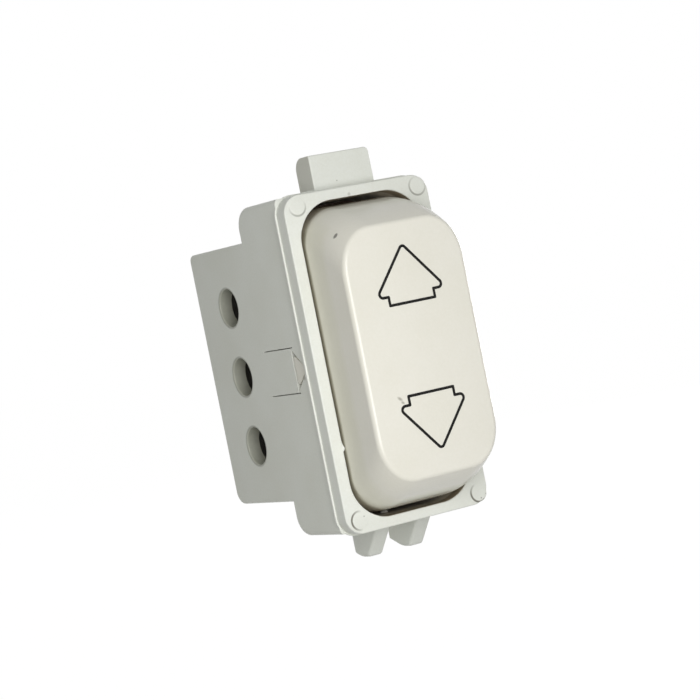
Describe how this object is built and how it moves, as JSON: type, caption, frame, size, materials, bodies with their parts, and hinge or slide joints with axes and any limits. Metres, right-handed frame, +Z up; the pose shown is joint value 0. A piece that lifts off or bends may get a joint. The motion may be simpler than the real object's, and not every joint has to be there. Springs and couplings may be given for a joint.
{
  "type": "roller shutter switch module",
  "caption": "Rocker switch module for a roller shutter: a spring-centred rocker with up and down arrows in a housing that clips into a mounting frame.",
  "frame": {"origin": "middle of the flange rim's rear plane, where the module seats on its yoke", "axes": "+Z up, towards the tab; -Y out of the wall, towards the room; +X to the right seen from the room"},
  "size_m": [0.025, 0.0426, 0.0594],
  "materials": {
    "housing_plastic": "fine moulded satin, pale grey-white",
    "rocker_plastic": "moulded satin gloss, cream white",
    "arrow_print": "printed matt black line",
    "inner_plastic": "plain moulded, natural white",
    "deck_laminate": "cut from brown paper laminate, satin",
    "carrier_plastic": "plain moulded, grey",
    "brass": "stamped or milled, bare",
    "silver": "pressed contact silver, bright",
    "zinc_steel": "bright zinc plate",
    "spring_steel": "drawn wire"
  },
  "bodies": {
    "module": {"housing": "housing_plastic", "guide_deck": "deck_laminate", "terminal_carrier": "carrier_plastic", "rear_cover": "housing_plastic", "common_strap": "brass", "line_contact_up": "brass", "line_contact_down": "brass", "fixed_tips": "silver", "terminal_up": "brass", "terminal_common": "brass", "terminal_down": "brass", "return_spring_up": "spring_steel", "return_spring_down": "spring_steel"},
    "rocker": {"rocker": "rocker_plastic", "arrow_marks": "arrow_print"},
    "plunger_up": {"plunger_up": "inner_plastic", "contact_bridge_up": "brass", "moving_tips_up": "silver"},
    "plunger_down": {"plunger_down": "inner_plastic", "contact_bridge_down": "brass", "moving_tips_down": "silver"},
    "clamp_up": {"wire_clamp_up": "zinc_steel"},
    "screw_up": {"terminal_screw_up": "zinc_steel"},
    "clamp_common": {"wire_clamp_common": "zinc_steel"},
    "screw_common": {"terminal_screw_common": "zinc_steel"},
    "clamp_down": {"wire_clamp_down": "zinc_steel"},
    "screw_down": {"terminal_screw_down": "zinc_steel"}
  },
  "joints": [
    {"name": "rocker_tilt", "type": "hinge", "parent": "module", "child": "rocker", "pos_m": [0, 0.0006, 0], "axis": [1, 0, 0], "range_deg": [-7, 7], "stiffness_Nm_per_rad": 0.2},
    {"name": "plunger_up_slide", "type": "slide", "parent": "module", "child": "plunger_up", "axis": [0, 1, 0], "range_m": [-0.0013, 0.0013], "deforming": ["return_spring_up"]},
    {"name": "plunger_down_slide", "type": "slide", "parent": "module", "child": "plunger_down", "axis": [0, 1, 0], "range_m": [-0.0013, 0.0013], "deforming": ["return_spring_down"]},
    {"name": "clamp_up_slide", "type": "slide", "parent": "module", "child": "clamp_up", "axis": [0, -1, 0], "range_m": [0, 0.0024]},
    {"name": "screw_up_turn", "type": "hinge", "parent": "clamp_up", "child": "screw_up", "pos_m": [0, 0.0252, 0.01075], "axis": [0, -1, 0], "range_deg": [0, 1441]},
    {"name": "clamp_common_slide", "type": "slide", "parent": "module", "child": "clamp_common", "axis": [0, -1, 0], "range_m": [0, 0.0024]},
    {"name": "screw_common_turn", "type": "hinge", "parent": "clamp_common", "child": "screw_common", "pos_m": [0, 0.0252, 0.00015], "axis": [0, -1, 0], "range_deg": [0, 1441]},
    {"name": "clamp_down_slide", "type": "slide", "parent": "module", "child": "clamp_down", "axis": [0, -1, 0], "range_m": [0, 0.0024]},
    {"name": "screw_down_turn", "type": "hinge", "parent": "clamp_down", "child": "screw_down", "pos_m": [0, 0.0252, -0.01045], "axis": [0, -1, 0], "range_deg": [0, 1441]}
  ],
  "couplings": [
    {"joint": "plunger_up_slide", "follows": "rocker_tilt", "m_per_rad": -0.0106},
    {"joint": "plunger_down_slide", "follows": "rocker_tilt", "m_per_rad": 0.0106},
    {"joint": "screw_up_turn", "follows": "clamp_up_slide", "rad_per_m": 10472},
    {"joint": "screw_common_turn", "follows": "clamp_common_slide", "rad_per_m": 10472},
    {"joint": "screw_down_turn", "follows": "clamp_down_slide", "rad_per_m": 10472}
  ]
}
